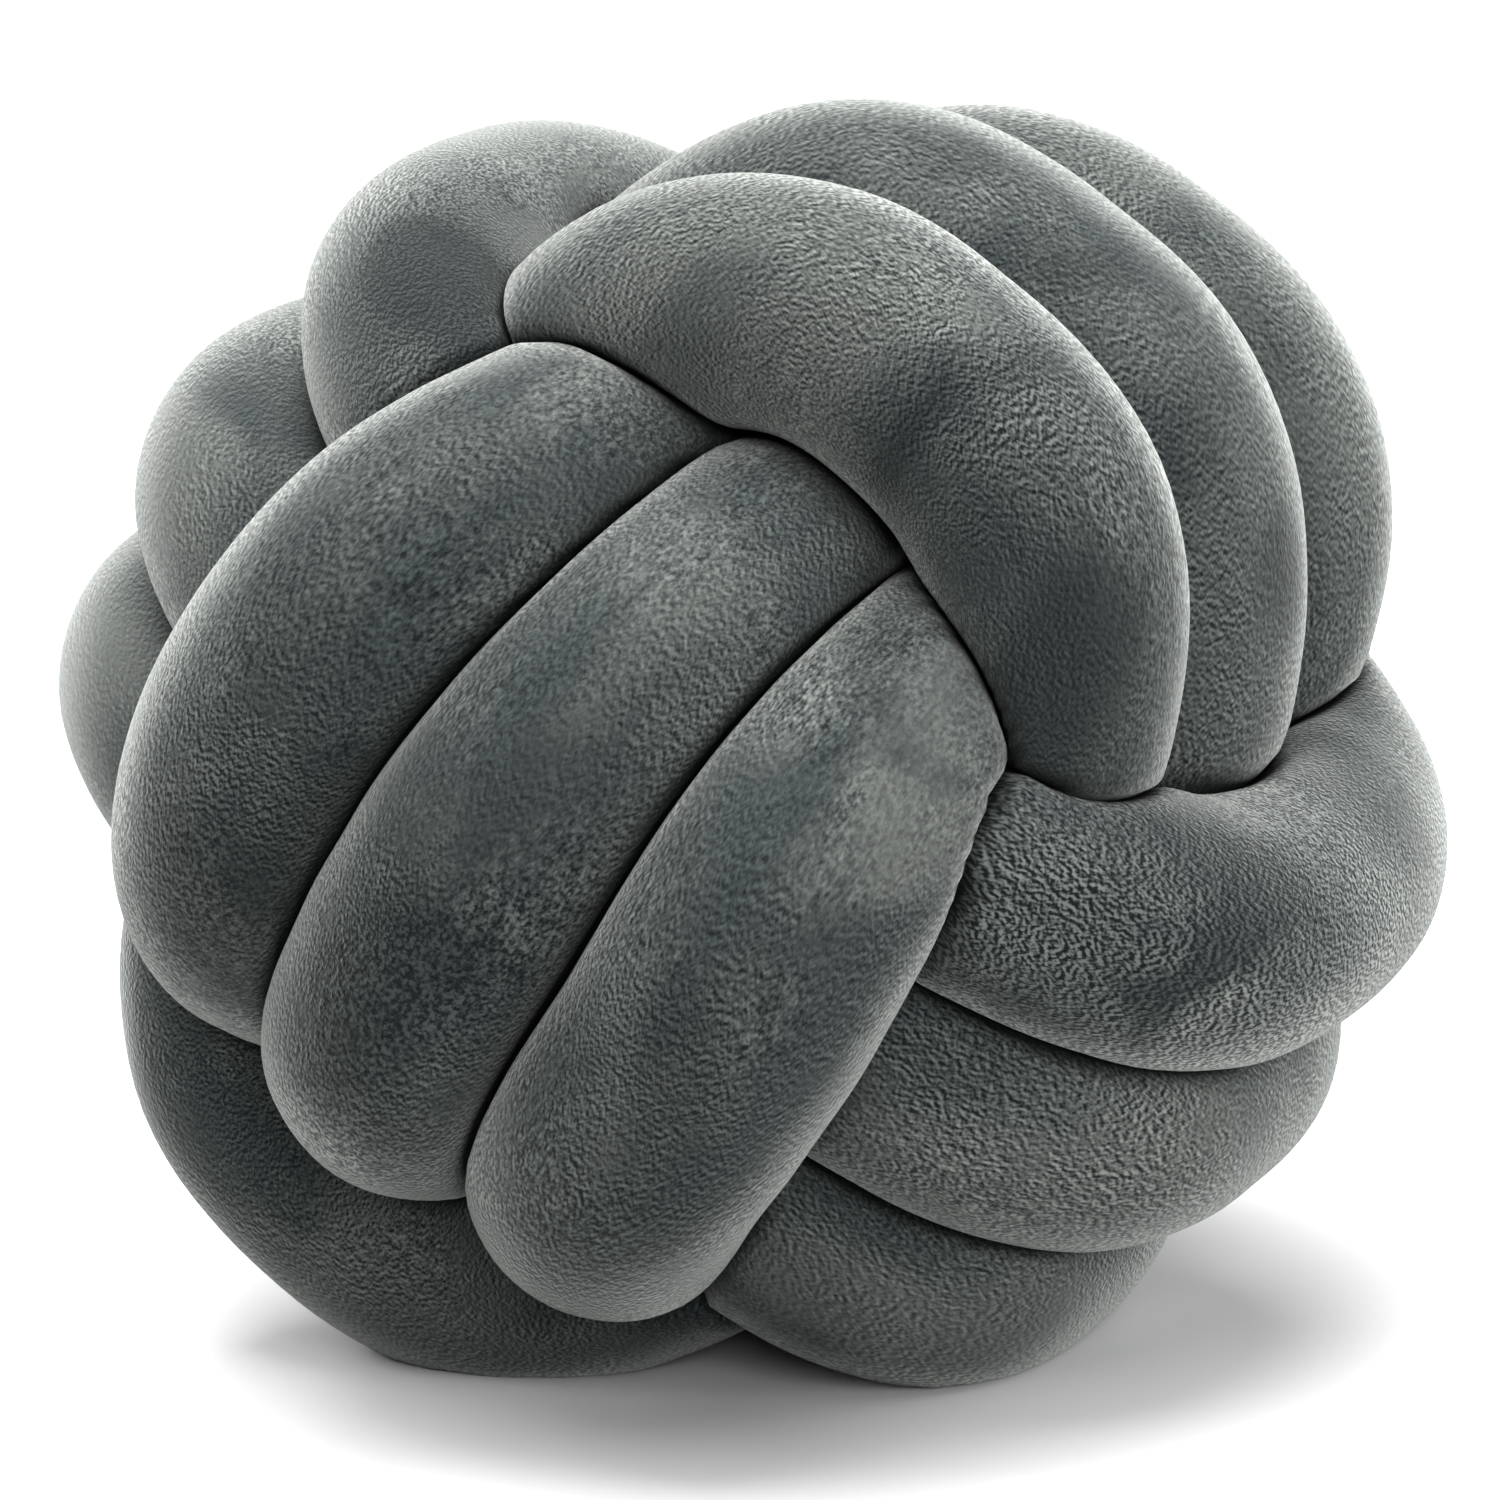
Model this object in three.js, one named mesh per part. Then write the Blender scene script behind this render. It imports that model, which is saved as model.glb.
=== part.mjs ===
// Round cushion: one long stuffed tube of short-pile plush, wound and tucked into a ball knot.
// Three bands of three turns enclose each other, and both ends of the tube lie tucked inside.
// Millimetres, +Z up, the cushion resting on the floor plane z = 0.
import * as THREE from "three";

// Driving sizes of the knot
const laneStep = 50;
const crownReach = 113;
const tuckReach = 71;
const foldSquareness = 2.7;
const tubeRadius = 30;

// Under the next band the turns are pulled together and pressed toward the middle of the knot
const tuckDrop = 11;
const tuckPinch = 0.18;

// How the tube fills the knot: its extra radius where it is hidden, the gap between two turns,
// how sharp the edges of the pressed flats are, and the length of the tube's rounded ends
const hiddenSwell = 9;
const turnGap = 0.8;
const creaseSharpness = 16;
const endLength = 34;

// How the knot lies on the floor: the height of its middle and the angles of its front face
const knotHeight = 126;
const knotTurn = -28.5;
const knotTilt = 3.4;
const knotLean = 37.5;

// Facets: corners of one section, spacing of the sections, and the most that a section may
// twist against the one before it; how far a corner may stand out past the corners around it
const sides = 12;
const shownStep = 10.5;
const hiddenStep = 17;
const twistLimit = 15;
const outwardShare = 0.5;
const sampleStep = 4;
const curveSteps = 20;
const endAngles = [14, 34, 58, 90];
const drawInPasses = 2;
const evenPasses = 3;
const spikeLimit = 1.5;

// Where a fold counts as shown, and where it starts to ease over into the next fold, in degrees
// from its crown; a loose end leaves its face at looseEndAngle
const shownAngle = 62;
const easeAngle = 55;
const looseEndAngle = 60;
const jointAngle = 90;
const keyAngle = 10;

// The knot's six faces. A fold crosses a face along `along`, its centreline standing off by `out`,
// and the three lanes of a face are counted along `across`.
const faces = {
  front: { out: [0, 0, 1], along: [0, 1, 0], across: [1, 0, 0] },
  back: { out: [0, 0, -1], along: [0, -1, 0], across: [1, 0, 0] },
  left: { out: [-1, 0, 0], along: [0, 0, -1], across: [0, 1, 0] },
  right: { out: [1, 0, 0], along: [0, 0, 1], across: [0, 1, 0] },
  under: { out: [0, -1, 0], along: [-1, 0, 0], across: [0, 0, 1] },
  over: { out: [0, 1, 0], along: [1, 0, 0], across: [0, 0, 1] },
};

// One row for each fold, in the order in which the tube is wound, as differences from the even
// knot: how far its crown stands out and slides along the fold, how far it reaches where it comes
// up and where it dives, its sideways lean at its start, middle and end, and how much fatter it is.
const foldColumns = [
  "face", "lane", "crown", "slide", "reachIn", "reachOut", "leanIn", "leanMid", "leanOut", "fatter",
];
const firstBand = [
  ["front", -1, 1, 7, 1, -6, 6, -4, 11, 1],
  ["back", -1, 0, 0, 0, 0, 4, 0, 2, 0],
  ["front", 0, 4, -3, 1, 1, -4, -1, -1, 1],
  ["back", 0, 0, 0, 0, 0, 0, 0, 0, 0],
  ["front", 1, 1, 4, -3, -3, -10, 3, -12, 1],
  ["back", 1, 0, 0, 0, 0, -4, 0, -2, 0],
];
const secondBand = [
  ["left", -1, 3, -2, -2, 0, -1, -4, 0, 1],
  ["right", -1, -5, 10, 5, -5, 0, 4, 7, -2],
  ["left", 0, 5, -5, 2, 0, -1, 0, 0, 2],
  ["right", 0, 1, 1, -1, 0, 0, 2, 4, 1],
  ["left", 1, -4, 1, 4, -3, -3, 6, -4, -2],
  ["right", 1, -1, 1, 5, 6, 3, 0, 3, -1],
];
const thirdBand = [
  ["under", -1, -2, 0, 0, 0, 3, 0, 3, 0],
  ["over", -1, 3, 5, -5, -2, 3, -1, 6, 0],
  ["under", 0, -4, 0, 0, 0, 0, 0, 0, 0],
  ["over", 0, 5, -3, -2, 1, 1, -1, 2, 2],
  ["under", 1, 1, 10, -6, -3, -3, 9, 1, -1],
  ["over", 1, 5, 2, -1, 1, -1, 2, 6, -3],
];

// The hidden runs through the middle, by points in the knot's own axes (right, over, front):
// the tucked start, the two runs from one band to the next, and the tucked end.
const tuckedStart = [[-34, -16, -18], [-40, -36, -2], [-46, -56, 16]];
const firstToSecond = [[46, -60, -18], [37, -44, 14], [17, -40, 44], [-8, -47, 64]];
const secondToThird = [
  [18, 46, 60], [-4, 36, 42], [-12, 16, 10], [2, -2, -22], [28, -10, -44], [58, -14, -52],
];
const tuckedEnd = [[62, 18, 46], [44, 2, 34], [28, -6, 24]];

// How far a fold has gone, from 0 to 1, on its way from its own stretch to the joint.
function jointRun(angle) {
  return Math.max(0, (Math.abs(angle) - easeAngle) / (jointAngle - easeAngle));
}

// Eases a fold over to the next one, so that two folds in different places meet half way with
// one slope.
function easeOver(run) {
  const half = run / 2;
  return 2 * half * half * (3 - 2 * half);
}

// Where a fold comes up (starting) or dives: its reach along the face and its place across it.
function foldEnd(fold, starting) {
  return {
    reach: tuckReach + (starting ? fold.reachIn : fold.reachOut),
    across: laneStep * fold.lane + (starting ? fold.leanIn : fold.leanOut),
  };
}

// A fold's place at one angle from its crown, as distances out of, along and across its face.
function foldPlace(fold, angle, before, after) {
  const cos = Math.cos(THREE.MathUtils.degToRad(angle));
  const sin = Math.sin(THREE.MathUtils.degToRad(angle));
  const powers = Math.abs(cos) ** foldSquareness + Math.abs(sin) ** foldSquareness;
  const corner = powers ** (-1 / foldSquareness);
  const starting = angle < 0;
  const end = foldEnd(fold, starting);
  const neighbour = starting ? before : after;
  const other = neighbour ? foldEnd(neighbour, !starting) : end;
  const run = jointRun(angle);
  const tucked = THREE.MathUtils.smoothstep(run, 0, 1);
  const reach = end.reach + easeOver(run) * (other.reach - end.reach) / 2 - tuckDrop * tucked;
  const pinch = tuckPinch * tucked * (end.across + other.across) / 2;
  const own = (laneStep * fold.lane + fold.leanMid) * cos * cos + end.across * sin * sin;
  return {
    out: (crownReach + fold.crown) * cos * corner,
    along: reach * sin * corner + fold.slide * (cos * corner) ** 2,
    across: own + easeOver(run) * (other.across - end.across) / 2 - pinch,
  };
}

// Key points of one band's six folds.
function bandKeys(rows, bandName) {
  const folds = rows.map((row) => Object.fromEntries(foldColumns.map((name, i) => [name, row[i]])));
  const keys = [];
  folds.forEach((fold, i) => {
    const from = i === 0 ? -looseEndAngle : keyAngle - jointAngle;
    const to = i === folds.length - 1 ? looseEndAngle : jointAngle;
    const face = faces[fold.face];
    for (let angle = from; angle <= to; angle += keyAngle) {
      const place = foldPlace(fold, angle, folds[i - 1], folds[i + 1]);
      const position = new THREE.Vector3()
        .addScaledVector(new THREE.Vector3(...face.out), place.out)
        .addScaledVector(new THREE.Vector3(...face.along), place.along)
        .addScaledVector(new THREE.Vector3(...face.across), place.across);
      const tucked = THREE.MathUtils.smoothstep(Math.abs(angle), easeAngle, jointAngle);
      keys.push({
        position,
        radius: tubeRadius + fold.fatter,
        swell: hiddenSwell * tucked,
        shown: Math.abs(angle) < shownAngle,
        fold: `${bandName} ${fold.face} ${fold.lane}`,
      });
    }
  });
  return keys;
}

// Key points of a hidden run through the middle.
function runKeys(points, runName) {
  return points.map((point) => ({
    position: new THREE.Vector3(...point),
    radius: tubeRadius,
    swell: hiddenSwell,
    shown: false,
    fold: runName,
  }));
}

// Turns a point from the knot's own axes (right, over, front) to the way the cushion lies.
function layOnFloor(point) {
  return new THREE.Vector3(point.x, -point.z, point.y)
    .applyAxisAngle(new THREE.Vector3(0, 1, 0), THREE.MathUtils.degToRad(knotLean))
    .applyAxisAngle(new THREE.Vector3(1, 0, 0), THREE.MathUtils.degToRad(knotTilt))
    .applyAxisAngle(new THREE.Vector3(0, 0, 1), THREE.MathUtils.degToRad(knotTurn))
    .add(new THREE.Vector3(0, 0, knotHeight));
}

// The tube's whole route as a smooth curve, with the radius and the rest read off its keys.
function tubeRoute() {
  const keys = [
    ...runKeys(tuckedStart, "start"),
    ...bandKeys(firstBand, "first"),
    ...runKeys(firstToSecond, "first to second"),
    ...bandKeys(secondBand, "second"),
    ...runKeys(secondToThird, "second to third"),
    ...bandKeys(thirdBand, "third"),
    ...runKeys(tuckedEnd, "end"),
  ];
  const curve = new THREE.CatmullRomCurve3(keys.map((key) => layOnFloor(key.position)));
  curve.arcLengthDivisions = keys.length * curveSteps;
  const length = curve.getLength();
  const sampleAt = (along) => {
    const t = curve.getUtoTmapping(0, along);
    const place = t * (keys.length - 1);
    const key = keys[Math.min(Math.floor(place), keys.length - 2)];
    const next = keys[Math.min(Math.floor(place) + 1, keys.length - 1)];
    const part = place - Math.floor(place);
    const toEnd = Math.min(1, Math.min(along, length - along) / endLength);
    const rounding = Math.sqrt(1 - (1 - toEnd) ** 2);
    return {
      along,
      position: curve.getPoint(t),
      tangent: curve.getTangent(t),
      radius: THREE.MathUtils.lerp(key.radius, next.radius, part),
      swell: THREE.MathUtils.lerp(key.swell, next.swell, part),
      rounding,
      shown: key.shown && next.shown,
      fold: part < 0.5 ? key.fold : next.fold,
    };
  };
  return { length, sampleAt };
}

// Distances along the tube at which it gets a section: close where it shows, wider where it is
// hidden, and along an arc at its two rounded ends.
function sectionPlaces(route) {
  const arc = endAngles.map((angle) => endLength * (1 - Math.cos(THREE.MathUtils.degToRad(angle))));
  const places = [...arc];
  const lastPlace = route.length - endLength;
  let along = endLength;
  while (along < lastPlace) {
    along += route.sampleAt(along).shown ? shownStep : hiddenStep;
    if (along < lastPlace - hiddenStep / 2) places.push(along);
  }
  return [...places, ...arc.map((place) => route.length - place).reverse()];
}

// The distance at which the tube's skin stands off its centreline in one direction. Every other
// fold presses it flat half way between the two centrelines.
function skinDistance(section, direction, samples) {
  const walls = {};
  const { x, y, z } = section.position;
  for (const other of samples) {
    if (Math.abs(other.along - section.along) < section.radius) continue;
    const dx = other.position.x - x;
    const dy = other.position.y - y;
    const dz = other.position.z - z;
    const facing = dx * direction.x + dy * direction.y + dz * direction.z;
    if (facing <= 0) continue;
    const apart = dx * dx + dy * dy + dz * dz;
    const wall = (apart + section.radius ** 2 - other.radius ** 2) / (2 * facing);
    if (wall < (walls[other.fold] ?? Infinity)) walls[other.fold] = wall;
  }
  const limits = [section.radius + section.swell, ...Object.values(walls)];
  const sum = limits.reduce((total, limit) => total + limit ** -creaseSharpness, 0);
  return (sum ** (-1 / creaseSharpness) - turnGap / 2) * section.rounding;
}

// Sets a section's corners on the tube's skin.
function setCorners(section, samples) {
  section.corners = [];
  for (let side = 0; side < sides; side++) {
    const angle = 2 * Math.PI * side / sides;
    const direction = section.normal.clone().applyAxisAngle(section.tangent, angle);
    const distance = skinDistance(section, direction, samples);
    const point = section.position.clone().addScaledVector(direction, distance);
    section.corners.push({ direction, point });
  }
}

// Where a facet's edge between two sections would stand out past the skin half way along it, both
// of its corners are drawn in, so that no facet cuts into the next turn.
function drawInCorners(sections, halfways, samples) {
  for (let i = 0; i + 1 < sections.length; i++) {
    for (let side = 0; side < sides; side++) {
      for (const shift of [0, 1]) {
        const corner = sections[i].corners[side];
        const next = sections[i + 1].corners[(side + shift) % sides];
        const middle = new THREE.Vector3().addVectors(corner.point, next.point).multiplyScalar(0.5);
        const offset = middle.sub(halfways[i].position).projectOnPlane(halfways[i].tangent);
        const reach = offset.length();
        const skin = skinDistance(halfways[i], offset.normalize(), samples);
        const excess = reach - skin;
        const pressed = skin < halfways[i].radius - turnGap;
        if (excess <= 0 || !pressed) continue;
        corner.point.addScaledVector(corner.direction, -excess);
        next.point.addScaledVector(next.direction, -excess);
      }
    }
  }
}

// Draws in each corner that stands out past the middle of its neighbours by more than spikeLimit.
function evenCorners(sections) {
  const distances = sections.map(({ position, corners }) => (
    corners.map((corner) => corner.point.distanceTo(position))
  ));
  for (let i = 1; i + 1 < sections.length; i++) {
    for (let side = 0; side < sides; side++) {
      const around = distances[i][(side + 1) % sides] + distances[i][(side + sides - 1) % sides];
      const alongTube = distances[i - 1][side] + distances[i + 1][side];
      const excess = distances[i][side] - (around + alongTube) / 4 - spikeLimit;
      const corner = sections[i].corners[side];
      if (excess > 0) corner.point.addScaledVector(corner.direction, -excess);
    }
  }
}

// Presses flat what would reach below the floor.
function restOnFloor(sections) {
  for (const { position, corners } of sections) {
    for (const { point, direction } of corners) {
      if (point.z < 0) point.copy(position).addScaledVector(direction, -position.z / direction.z);
    }
  }
}

// Carries a normal along the tube, turning it a little at each section toward the outside.
function setNormals(sections) {
  const middle = new THREE.Vector3(0, 0, knotHeight);
  let normal = new THREE.Vector3().subVectors(sections[0].position, middle);
  for (const section of sections) {
    normal = normal.clone().projectOnPlane(section.tangent).normalize();
    const outside = new THREE.Vector3().subVectors(section.position, middle);
    const outward = outside.clone().projectOnPlane(section.tangent);
    if (outward.length() > outwardShare * outside.length()) {
      const side = new THREE.Vector3().crossVectors(section.tangent, normal);
      const turn = Math.atan2(outward.dot(side), outward.dot(normal));
      const limit = THREE.MathUtils.degToRad(twistLimit);
      normal.applyAxisAngle(section.tangent, THREE.MathUtils.clamp(turn, -limit, limit));
    }
    section.normal = normal;
  }
}

// The closed skin of the whole tube: rings of corners joined by triangles, and a tip at each end.
// Its outline's middle stands over the origin.
function tubeGeometry() {
  const route = tubeRoute();
  const samples = [];
  for (let along = 0; along <= route.length; along += sampleStep) samples.push(route.sampleAt(along));
  const places = sectionPlaces(route);
  const sections = places.map(route.sampleAt);
  const halfways = places.slice(1).map((place, i) => route.sampleAt((place + places[i]) / 2));
  setNormals(sections);
  for (const section of sections) setCorners(section, samples);
  for (let pass = 0; pass < drawInPasses; pass++) drawInCorners(sections, halfways, samples);
  for (let pass = 0; pass < evenPasses; pass++) evenCorners(sections);
  restOnFloor(sections);

  const corners = sections.flatMap((section) => section.corners.map((corner) => corner.point));
  const startTip = corners.push(route.sampleAt(0).position) - 1;
  const endTip = corners.push(route.sampleAt(route.length).position) - 1;

  const triangles = [];
  const lastRing = (sections.length - 1) * sides;
  for (let side = 0; side < sides; side++) {
    const next = (side + 1) % sides;
    triangles.push([startTip, next, side]);
    triangles.push([endTip, lastRing + side, lastRing + next]);
    for (let ring = 0; ring < lastRing; ring += sides) {
      triangles.push([ring + side, ring + next, ring + sides + next]);
      triangles.push([ring + side, ring + sides + next, ring + sides + side]);
    }
  }

  const geometry = new THREE.BufferGeometry();
  const coordinates = corners.flatMap((corner) => corner.toArray());
  geometry.setAttribute("position", new THREE.Float32BufferAttribute(coordinates, 3));
  geometry.setIndex(triangles.flat());
  geometry.computeBoundingBox();
  const middle = geometry.boundingBox.getCenter(new THREE.Vector3());
  geometry.translate(-middle.x, -middle.y, 0);
  geometry.computeVertexNormals();
  return geometry;
}

const plush = new THREE.MeshStandardMaterial({ color: "#636965", roughness: 0.95, metalness: 0 });

const stuffedTube = new THREE.Mesh(tubeGeometry(), plush);
stuffedTube.name = "stuffed_tube";

const cushion = new THREE.Group();
cushion.add(stuffedTube);

export default cushion;
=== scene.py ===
# A round cushion on a pale studio floor: one long stuffed tube of short-pile plush, wound and
# tucked into a ball knot.
import math

import bpy
import numpy as np
from mathutils import Matrix, Vector, noise


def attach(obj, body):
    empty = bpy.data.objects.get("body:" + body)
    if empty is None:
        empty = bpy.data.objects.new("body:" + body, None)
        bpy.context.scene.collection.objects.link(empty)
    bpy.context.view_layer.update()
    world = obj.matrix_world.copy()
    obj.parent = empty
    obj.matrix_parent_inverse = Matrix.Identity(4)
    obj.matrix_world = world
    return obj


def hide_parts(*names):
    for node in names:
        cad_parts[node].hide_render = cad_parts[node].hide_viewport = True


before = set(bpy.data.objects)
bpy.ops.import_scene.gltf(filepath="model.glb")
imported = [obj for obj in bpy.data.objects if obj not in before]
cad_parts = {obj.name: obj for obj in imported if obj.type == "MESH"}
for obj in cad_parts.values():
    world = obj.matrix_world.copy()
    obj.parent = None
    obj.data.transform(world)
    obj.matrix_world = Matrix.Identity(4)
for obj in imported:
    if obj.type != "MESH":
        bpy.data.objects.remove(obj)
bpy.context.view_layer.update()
mm = 0.001
print("frame loaded")

# The knot's shape, in millimetres and degrees
knot = {
    "laneStep": 50,  # between two neighbouring folds of a face
    "crownReach": 113,  # from the middle out to a fold's centre line
    "tuckReach": 71,  # and along its face, where it dives
    "squareness": 2.7,  # 2 would be a round bend
    "tuckDrop": 11,  # how much it draws in where two folds meet
    "tuckPinch": 0.18,  # and how much nearer to the middle lane it comes there
    "liftFrom": 30,  # a lift starts at this angle from the crown
    "easeAngle": 55,  # from here a fold leads over to the next one
    "shownAngle": 62,
    "looseEndAngle": 60,  # a band's first fold starts here, and its last one stops
    "jointAngle": 90,  # where two folds of a band meet
    "keyAngle": 10,
    "middle": (2.52, 1.63, 126),
    "turn": -28.5,
    "tilt": 3.4,
    "lean": 37.5,
}

# A fold crosses one of the knot's six faces along `along`, standing off by `out`; the face's
# three lanes are counted along `across`
faces = {
    "front": {"out": (0, 0, 1), "along": (0, 1, 0), "across": (1, 0, 0)},
    "back": {"out": (0, 0, -1), "along": (0, -1, 0), "across": (1, 0, 0)},
    "left": {"out": (-1, 0, 0), "along": (0, 0, -1), "across": (0, 1, 0)},
    "right": {"out": (1, 0, 0), "along": (0, 0, 1), "across": (0, 1, 0)},
    "under": {"out": (0, -1, 0), "along": (-1, 0, 0), "across": (0, 0, 1)},
    "over": {"out": (0, 1, 0), "along": (1, 0, 0), "across": (0, 0, 1)},
}

# One row a fold, in the order in which the tube is wound, as differences from the even knot: how
# far its crown stands off and slides along, how much further it reaches where it comes up and
# where it dives, how it leans across at its start, crown and end, how much fatter it is, and how
# far it is lifted on its way up
foldColumns = (
    "face", "lane", "crown", "slide", "reachIn", "reachOut", "leanIn", "leanMid", "leanOut",
    "fatter", "liftIn",
)
firstBand = (
    ("front", -1, 1, 7, 1, -6, 6, -4, 11, 1, 0),
    ("back", -1, 0, 0, 0, 0, 4, 0, 2, 0, 0),
    ("front", 0, 4, -3, 1, 1, -4, -1, -1, 1, 0),
    ("back", 0, 0, 0, 0, 0, 0, 0, 0, 0, 0),
    ("front", 1, 1, 4, -3, -3, -10, 3, -12, 1, 0),
    ("back", 1, 0, 0, 0, 0, -4, 0, -2, 0, 0),
)
secondBand = (
    ("left", -1, 3, -2, -2, 0, -1, -4, 0, 1, 0),
    ("right", -1, -5, 10, 5, -5, 0, 4, 7, -2, 0),
    ("left", 0, 5, -5, 2, 0, -1, 0, 0, 2, 0),
    ("right", 0, 1, 1, -1, 0, 0, 2, 4, 1, 0),
    ("left", 1, -4, 1, 4, -3, -3, 6, -4, -2, 0),
    ("right", 1, -1, 1, 5, 6, 3, 0, 3, -1, 0),
)
thirdBand = (
    ("under", -1, -2, 0, 0, 0, 3, 0, 3, 0, 0),
    ("over", -1, 3, 5, -5, -2, 3, -1, 6, 0, 0),
    ("under", 0, -4, 0, 0, 0, 0, 0, 0, 0, 0),
    ("over", 0, 5, -3, -2, 1, 1, -1, 2, 2, 0),
    ("under", 1, 1, 10, -6, -3, -3, 9, 1, -1, 0),
    ("over", 1, 5, 2, -6, -1, -1, 2, 6, -3, 9),
)

# The hidden runs through the middle, by points in the knot's own axes (right, over, front)
tuckedStart = ((-34, -16, -18), (-40, -36, -2), (-46, -56, 16))
firstToSecond = ((46, -60, -18), (37, -44, 14), (17, -40, 44), (-8, -47, 64))
secondToThird = (
    (18, 46, 60), (-4, 36, 42), (-12, 16, 10), (2, -2, -22), (28, -10, -44), (58, -14, -52),
)
tuckedEnd = ((62, 18, 46), (44, 2, 34), (28, -6, 24))


def smoothStep(value, low, high):
    share = np.clip((value - low) / (high - low), 0, 1)
    return share * share * (3 - 2 * share)


# Eases a fold over to the next one, so that the two meet half way with one slope
def easeOver(run):
    half = run / 2
    return 2 * half * half * (3 - 2 * half)


# Where a fold comes up (starting) or dives: its reach along the face and its place across it
def foldEnd(fold, starting):
    reach = knot["tuckReach"] + (fold["reachIn"] if starting else fold["reachOut"])
    across = knot["laneStep"] * fold["lane"] + (fold["leanIn"] if starting else fold["leanOut"])
    return reach, across


# A fold's place at one angle from its crown, out of, along and across its face
def foldPlace(fold, angle, before, after):
    cos, sin = math.cos(math.radians(angle)), math.sin(math.radians(angle))
    square = knot["squareness"]
    corner = (abs(cos) ** square + abs(sin) ** square) ** (-1 / square)
    starting = angle < 0
    reach, across = foldEnd(fold, starting)
    neighbour = before if starting else after
    otherReach, otherAcross = foldEnd(neighbour, not starting) if neighbour else (reach, across)
    run = max(0, (abs(angle) - knot["easeAngle"]) / (knot["jointAngle"] - knot["easeAngle"]))
    tucked = smoothStep(run, 0, 1)
    along = reach + easeOver(run) * (otherReach - reach) / 2 - knot["tuckDrop"] * tucked
    pinch = knot["tuckPinch"] * tucked * (across + otherAcross) / 2
    own = (knot["laneStep"] * fold["lane"] + fold["leanMid"]) * cos * cos + across * sin * sin
    lifted = max(0, -angle - knot["liftFrom"])
    liftSpan = knot["jointAngle"] - knot["liftFrom"]
    lift = fold["liftIn"] * math.sin(math.pi * lifted / liftSpan) ** 2
    return (
        (knot["crownReach"] + fold["crown"]) * cos * corner + lift,
        along * sin * corner + fold["slide"] * (cos * corner) ** 2,
        own + easeOver(run) * (otherAcross - across) / 2 - pinch,
    )


# Key points of one band's six folds
def bandKeys(rows, bandName):
    folds = [dict(zip(foldColumns, row)) for row in rows]
    keys = []
    for i, fold in enumerate(folds):
        before = folds[i - 1] if i > 0 else None
        after = folds[i + 1] if i + 1 < len(folds) else None
        start = knot["keyAngle"] - knot["jointAngle"] if before else -knot["looseEndAngle"]
        stop = knot["jointAngle"] if after else knot["looseEndAngle"]
        face = faces[fold["face"]]
        for angle in range(start, stop + 1, knot["keyAngle"]):
            out, along, across = foldPlace(fold, angle, before, after)
            place = out * np.array(face["out"]) + along * np.array(face["along"])
            keys.append({
                "place": place + across * np.array(face["across"]),
                "radius": tube["radius"] + fold["fatter"],
                "swell": tube["hiddenSwell"] * smoothStep(
                    abs(angle), knot["easeAngle"], knot["jointAngle"]),
                "shown": abs(angle) < knot["shownAngle"],
                "fold": bandName + fold["face"] + str(fold["lane"]),
            })
    return keys


# Key points of a hidden run through the middle
def runKeys(points, runName):
    return [{
        "place": np.array(point, float),
        "radius": tube["radius"],
        "swell": tube["hiddenSwell"],
        "shown": False,
        "fold": runName,
    } for point in points]


# How the cushion lies: turned, tilted and leant from the knot's own axes
def lyingTurn():
    turn = Matrix.Rotation(math.radians(knot["turn"]), 3, "Z")
    tilt = Matrix.Rotation(math.radians(knot["tilt"]), 3, "X")
    lean = Matrix.Rotation(math.radians(knot["lean"]), 3, "Y")
    return np.array(turn @ tilt @ lean)


# Turns points from the knot's own axes (right, over, front) to the way the cushion lies
def layOnFloor(points):
    upright = np.column_stack((points[:, 0], -points[:, 2], points[:, 1]))
    return upright @ lyingTurn().T + np.array(knot["middle"])


# And back again
def standUp(points):
    upright = (points - np.array(knot["middle"])) @ lyingTurn()
    return np.column_stack((upright[:, 0], upright[:, 2], -upright[:, 1]))


# The tube, in millimetres
tube = {
    "radius": 30.3,
    "hiddenSwell": 9,  # how much fatter it is in the middle of the knot
    "turnGap": 0.7,  # between two turns that press on each other
    "creaseSharpness": 22,  # the higher, the sharper a flat's edge
    "creaseShadow": 3.2,  # painted crease shade reaches this far from the flat
    "creaseFall": 2,  # the higher, the sooner that fades
    "endLength": 34,  # over which the tube's two ends are rounded
    "sides": 64,
    "firstRing": 0.15,  # as a share of a step
    "shownStep": 3.6,
    "hiddenStep": 7,
    "sampleStep": 4,  # between the places that press on a ring
    "stepsPerKey": 40,  # for measuring the route
}


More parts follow.
